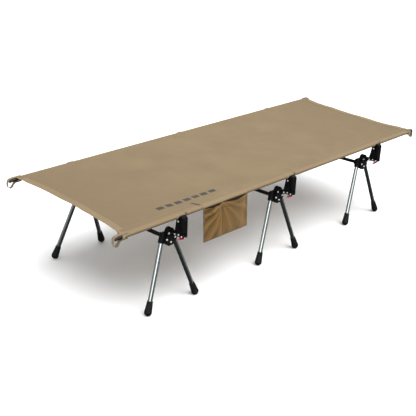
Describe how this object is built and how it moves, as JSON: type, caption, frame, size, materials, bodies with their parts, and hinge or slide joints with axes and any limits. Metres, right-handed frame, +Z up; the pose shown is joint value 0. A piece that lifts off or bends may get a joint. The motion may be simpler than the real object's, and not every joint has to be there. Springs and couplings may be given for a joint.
{
  "type": "folding cot",
  "caption": "Low knock-down camping cot with a sleeved fabric bed on side rails, bowed crossbars, plug-in splayed legs, lever clamps and a side pocket.",
  "frame": {"origin": "centre of the cot's footprint on the floor", "axes": "+X along the bed from head to foot, +Y to the rear side away from the pocket, +Z up"},
  "size_m": [1.9204, 0.73, 0.4125],
  "materials": {
    "bed_cloth": "woven, matt",
    "pocket_cloth": "woven, matt",
    "webbing": "flat woven webbing",
    "rail_tube": "satin anodised",
    "ferrule": "satin",
    "shock_cord": "braided cover",
    "end_cap": "matt moulded",
    "crossbar_tube": "black anodised, satin",
    "hub_moulding": "fine moulded texture",
    "bracket_plate": "black coated",
    "clamp_moulding": "fine moulded texture",
    "rivet": "bright",
    "tab_red": "semi-gloss moulded",
    "leg_tube": "polished satin",
    "foot_rubber": "matt rubber"
  },
  "bodies": {
    "frame": {"bed_fabric": "bed_cloth", "side_pocket": "pocket_cloth", "corner_loops": "webbing", "front_rail": "rail_tube", "rear_rail": "rail_tube", "rail_ferrules": "ferrule", "rail_shock_cords": "shock_cord", "rail_end_caps": "end_cap", "crossbars": "crossbar_tube", "clamp_brackets": "bracket_plate", "clamp_pins": "rivet", "hub_screws": "rivet", "head_front_hub": "hub_moulding", "head_rear_hub": "hub_moulding", "middle_front_hub": "hub_moulding", "middle_rear_hub": "hub_moulding", "foot_front_hub": "hub_moulding", "foot_rear_hub": "hub_moulding"},
    "head_front_hook": {"head_front_rail_hook": "clamp_moulding"},
    "head_front_lever": {"head_front_tension_lever": "clamp_moulding"},
    "head_front_tab": {"head_front_release_tab": "tab_red"},
    "head_front_leg_a": {"head_front_leg_a_tube": "leg_tube", "head_front_leg_a_foot": "foot_rubber"},
    "head_front_leg_b": {"head_front_leg_b_tube": "leg_tube", "head_front_leg_b_foot": "foot_rubber"},
    "head_rear_hook": {"head_rear_rail_hook": "clamp_moulding"},
    "head_rear_lever": {"head_rear_tension_lever": "clamp_moulding"},
    "head_rear_tab": {"head_rear_release_tab": "tab_red"},
    "head_rear_leg_a": {"head_rear_leg_a_tube": "leg_tube", "head_rear_leg_a_foot": "foot_rubber"},
    "head_rear_leg_b": {"head_rear_leg_b_tube": "leg_tube", "head_rear_leg_b_foot": "foot_rubber"},
    "middle_front_hook": {"middle_front_rail_hook": "clamp_moulding"},
    "middle_front_lever": {"middle_front_tension_lever": "clamp_moulding"},
    "middle_front_tab": {"middle_front_release_tab": "tab_red"},
    "middle_front_leg_a": {"middle_front_leg_a_tube": "leg_tube", "middle_front_leg_a_foot": "foot_rubber"},
    "middle_front_leg_b": {"middle_front_leg_b_tube": "leg_tube", "middle_front_leg_b_foot": "foot_rubber"},
    "middle_rear_hook": {"middle_rear_rail_hook": "clamp_moulding"},
    "middle_rear_lever": {"middle_rear_tension_lever": "clamp_moulding"},
    "middle_rear_tab": {"middle_rear_release_tab": "tab_red"},
    "middle_rear_leg_a": {"middle_rear_leg_a_tube": "leg_tube", "middle_rear_leg_a_foot": "foot_rubber"},
    "middle_rear_leg_b": {"middle_rear_leg_b_tube": "leg_tube", "middle_rear_leg_b_foot": "foot_rubber"},
    "foot_front_hook": {"foot_front_rail_hook": "clamp_moulding"},
    "foot_front_lever": {"foot_front_tension_lever": "clamp_moulding"},
    "foot_front_tab": {"foot_front_release_tab": "tab_red"},
    "foot_front_leg_a": {"foot_front_leg_a_tube": "leg_tube", "foot_front_leg_a_foot": "foot_rubber"},
    "foot_front_leg_b": {"foot_front_leg_b_tube": "leg_tube", "foot_front_leg_b_foot": "foot_rubber"},
    "foot_rear_hook": {"foot_rear_rail_hook": "clamp_moulding"},
    "foot_rear_lever": {"foot_rear_tension_lever": "clamp_moulding"},
    "foot_rear_tab": {"foot_rear_release_tab": "tab_red"},
    "foot_rear_leg_a": {"foot_rear_leg_a_tube": "leg_tube", "foot_rear_leg_a_foot": "foot_rubber"},
    "foot_rear_leg_b": {"foot_rear_leg_b_tube": "leg_tube", "foot_rear_leg_b_foot": "foot_rubber"}
  },
  "joints": [
    {"name": "head_front_lever_turn", "type": "hinge", "parent": "frame", "child": "head_front_lever", "pos_m": [-0.638, -0.357, 0.323], "axis": [1, 0, 0], "range_deg": [0, 120]},
    {"name": "head_front_hook_swing", "type": "hinge", "parent": "frame", "child": "head_front_hook", "pos_m": [-0.638, -0.337, 0.323], "axis": [1, 0, 0], "range_deg": [-15, 0]},
    {"name": "head_front_tab_press", "type": "hinge", "parent": "frame", "child": "head_front_tab", "pos_m": [-0.638, -0.357, 0.323], "axis": [-1, 0, 0], "range_deg": [0, 20], "stiffness_Nm_per_rad": 0.05, "springref_deg": -8.59},
    {"name": "head_front_leg_a_pull", "type": "slide", "parent": "frame", "child": "head_front_leg_a", "axis": [-0.3372, -0.1342, -0.9318], "range_m": [0, 0.07]},
    {"name": "head_front_leg_b_pull", "type": "slide", "parent": "frame", "child": "head_front_leg_b", "axis": [0.3372, -0.1342, -0.9318], "range_m": [0, 0.07]},
    {"name": "head_rear_lever_turn", "type": "hinge", "parent": "frame", "child": "head_rear_lever", "pos_m": [-0.638, 0.357, 0.323], "axis": [-1, 0, 0], "range_deg": [0, 120]},
    {"name": "head_rear_hook_swing", "type": "hinge", "parent": "frame", "child": "head_rear_hook", "pos_m": [-0.638, 0.337, 0.323], "axis": [-1, 0, 0], "range_deg": [-15, 0]},
    {"name": "head_rear_tab_press", "type": "hinge", "parent": "frame", "child": "head_rear_tab", "pos_m": [-0.638, 0.357, 0.323], "axis": [1, 0, 0], "range_deg": [0, 20], "stiffness_Nm_per_rad": 0.05, "springref_deg": -8.59},
    {"name": "head_rear_leg_a_pull", "type": "slide", "parent": "frame", "child": "head_rear_leg_a", "axis": [-0.3372, 0.1342, -0.9318], "range_m": [0, 0.07]},
    {"name": "head_rear_leg_b_pull", "type": "slide", "parent": "frame", "child": "head_rear_leg_b", "axis": [0.3372, 0.1342, -0.9318], "range_m": [0, 0.07]},
    {"name": "middle_front_lever_turn", "type": "hinge", "parent": "frame", "child": "middle_front_lever", "pos_m": [0, -0.357, 0.323], "axis": [1, 0, 0], "range_deg": [0, 120]},
    {"name": "middle_front_hook_swing", "type": "hinge", "parent": "frame", "child": "middle_front_hook", "pos_m": [0, -0.337, 0.323], "axis": [1, 0, 0], "range_deg": [-15, 0]},
    {"name": "middle_front_tab_press", "type": "hinge", "parent": "frame", "child": "middle_front_tab", "pos_m": [0, -0.357, 0.323], "axis": [-1, 0, 0], "range_deg": [0, 20], "stiffness_Nm_per_rad": 0.05, "springref_deg": -8.59},
    {"name": "middle_front_leg_a_pull", "type": "slide", "parent": "frame", "child": "middle_front_leg_a", "axis": [-0.3372, -0.1342, -0.9318], "range_m": [0, 0.07]},
    {"name": "middle_front_leg_b_pull", "type": "slide", "parent": "frame", "child": "middle_front_leg_b", "axis": [0.3372, -0.1342, -0.9318], "range_m": [0, 0.07]},
    {"name": "middle_rear_lever_turn", "type": "hinge", "parent": "frame", "child": "middle_rear_lever", "pos_m": [0, 0.357, 0.323], "axis": [-1, 0, 0], "range_deg": [0, 120]},
    {"name": "middle_rear_hook_swing", "type": "hinge", "parent": "frame", "child": "middle_rear_hook", "pos_m": [0, 0.337, 0.323], "axis": [-1, 0, 0], "range_deg": [-15, 0]},
    {"name": "middle_rear_tab_press", "type": "hinge", "parent": "frame", "child": "middle_rear_tab", "pos_m": [0, 0.357, 0.323], "axis": [1, 0, 0], "range_deg": [0, 20], "stiffness_Nm_per_rad": 0.05, "springref_deg": -8.59},
    {"name": "middle_rear_leg_a_pull", "type": "slide", "parent": "frame", "child": "middle_rear_leg_a", "axis": [-0.3372, 0.1342, -0.9318], "range_m": [0, 0.07]},
    {"name": "middle_rear_leg_b_pull", "type": "slide", "parent": "frame", "child": "middle_rear_leg_b", "axis": [0.3372, 0.1342, -0.9318], "range_m": [0, 0.07]},
    {"name": "foot_front_lever_turn", "type": "hinge", "parent": "frame", "child": "foot_front_lever", "pos_m": [0.638, -0.357, 0.323], "axis": [1, 0, 0], "range_deg": [0, 120]},
    {"name": "foot_front_hook_swing", "type": "hinge", "parent": "frame", "child": "foot_front_hook", "pos_m": [0.638, -0.337, 0.323], "axis": [1, 0, 0], "range_deg": [-15, 0]},
    {"name": "foot_front_tab_press", "type": "hinge", "parent": "frame", "child": "foot_front_tab", "pos_m": [0.638, -0.357, 0.323], "axis": [-1, 0, 0], "range_deg": [0, 20], "stiffness_Nm_per_rad": 0.05, "springref_deg": -8.59},
    {"name": "foot_front_leg_a_pull", "type": "slide", "parent": "frame", "child": "foot_front_leg_a", "axis": [-0.3372, -0.1342, -0.9318], "range_m": [0, 0.07]},
    {"name": "foot_front_leg_b_pull", "type": "slide", "parent": "frame", "child": "foot_front_leg_b", "axis": [0.3372, -0.1342, -0.9318], "range_m": [0, 0.07]},
    {"name": "foot_rear_lever_turn", "type": "hinge", "parent": "frame", "child": "foot_rear_lever", "pos_m": [0.638, 0.357, 0.323], "axis": [-1, 0, 0], "range_deg": [0, 120]},
    {"name": "foot_rear_hook_swing", "type": "hinge", "parent": "frame", "child": "foot_rear_hook", "pos_m": [0.638, 0.337, 0.323], "axis": [-1, 0, 0], "range_deg": [-15, 0]},
    {"name": "foot_rear_tab_press", "type": "hinge", "parent": "frame", "child": "foot_rear_tab", "pos_m": [0.638, 0.357, 0.323], "axis": [1, 0, 0], "range_deg": [0, 20], "stiffness_Nm_per_rad": 0.05, "springref_deg": -8.59},
    {"name": "foot_rear_leg_a_pull", "type": "slide", "parent": "frame", "child": "foot_rear_leg_a", "axis": [-0.3372, 0.1342, -0.9318], "range_m": [0, 0.07]},
    {"name": "foot_rear_leg_b_pull", "type": "slide", "parent": "frame", "child": "foot_rear_leg_b", "axis": [0.3372, 0.1342, -0.9318], "range_m": [0, 0.07]}
  ],
  "couplings": [
    {"joint": "head_front_hook_swing", "follows": "head_front_lever_turn", "ratio": -0.125},
    {"joint": "head_rear_hook_swing", "follows": "head_rear_lever_turn", "ratio": -0.125},
    {"joint": "middle_front_hook_swing", "follows": "middle_front_lever_turn", "ratio": -0.125},
    {"joint": "middle_rear_hook_swing", "follows": "middle_rear_lever_turn", "ratio": -0.125},
    {"joint": "foot_front_hook_swing", "follows": "foot_front_lever_turn", "ratio": -0.125},
    {"joint": "foot_rear_hook_swing", "follows": "foot_rear_lever_turn", "ratio": -0.125}
  ]
}
